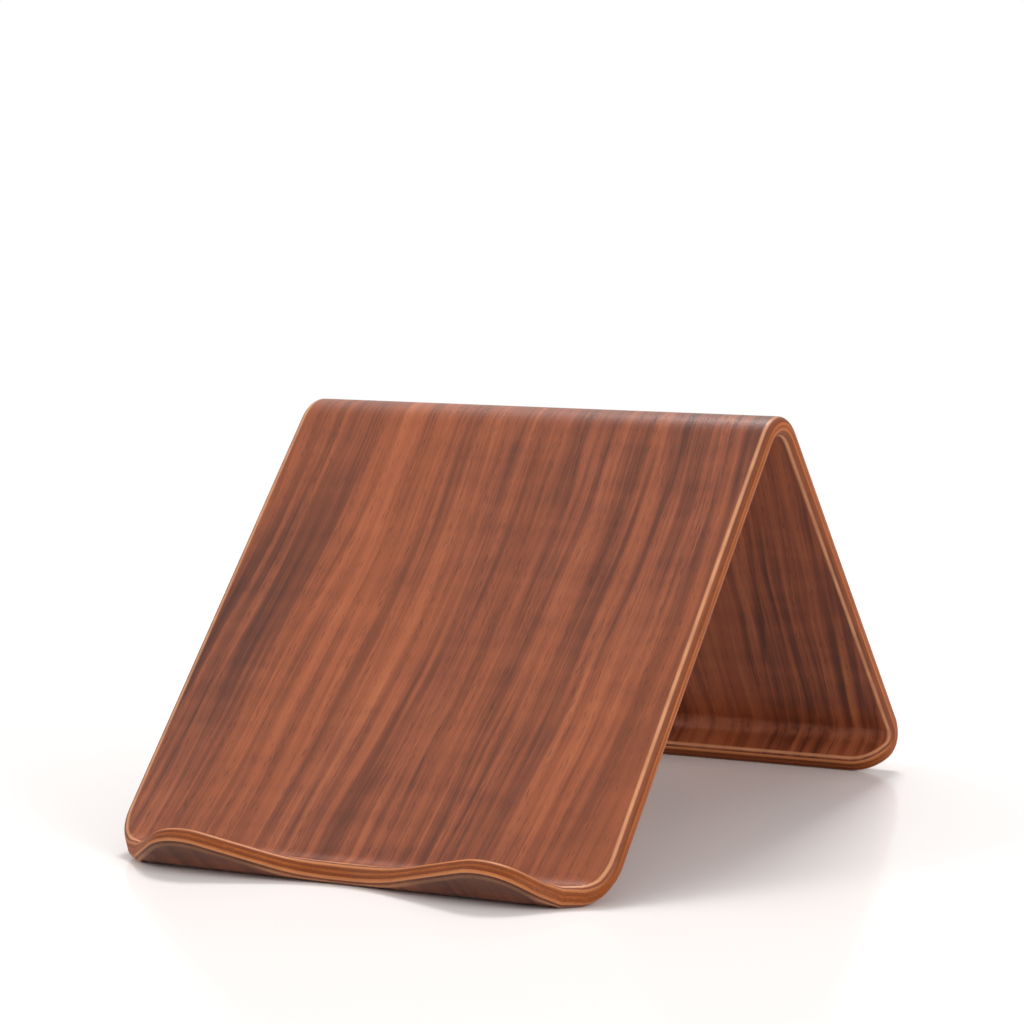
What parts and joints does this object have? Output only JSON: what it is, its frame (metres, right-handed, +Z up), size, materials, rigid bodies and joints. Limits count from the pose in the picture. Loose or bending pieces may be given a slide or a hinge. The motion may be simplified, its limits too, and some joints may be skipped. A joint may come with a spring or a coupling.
{
  "type": "tablet stand",
  "caption": "Desktop tablet stand bent from one strip of walnut-faced plywood, with a wavy front lip, a trough for the tablet's edge, a sloping backrest and a leaning rear leg.",
  "frame": {"origin": "on the table, in the middle of the stand's footprint", "axes": "+Z up, +Y towards the rear leg, +X to the right seen from the front"},
  "size_m": [0.138, 0.2018, 0.1066],
  "materials": {
    "walnut_face": "satin oiled walnut veneer, grain along the strip",
    "long_grain_core": "satin stained ply edge, grain along the strip",
    "cross_grain_core": "satin stained ply edge, end grain"
  },
  "bodies": {
    "root": {"under_face_veneer": "walnut_face", "under_side_crossband": "cross_grain_core", "under_side_long_ply": "long_grain_core", "centre_crossband": "cross_grain_core", "tablet_side_long_ply": "long_grain_core", "tablet_side_crossband": "cross_grain_core", "tablet_face_veneer": "walnut_face"}
  },
  "joints": []
}
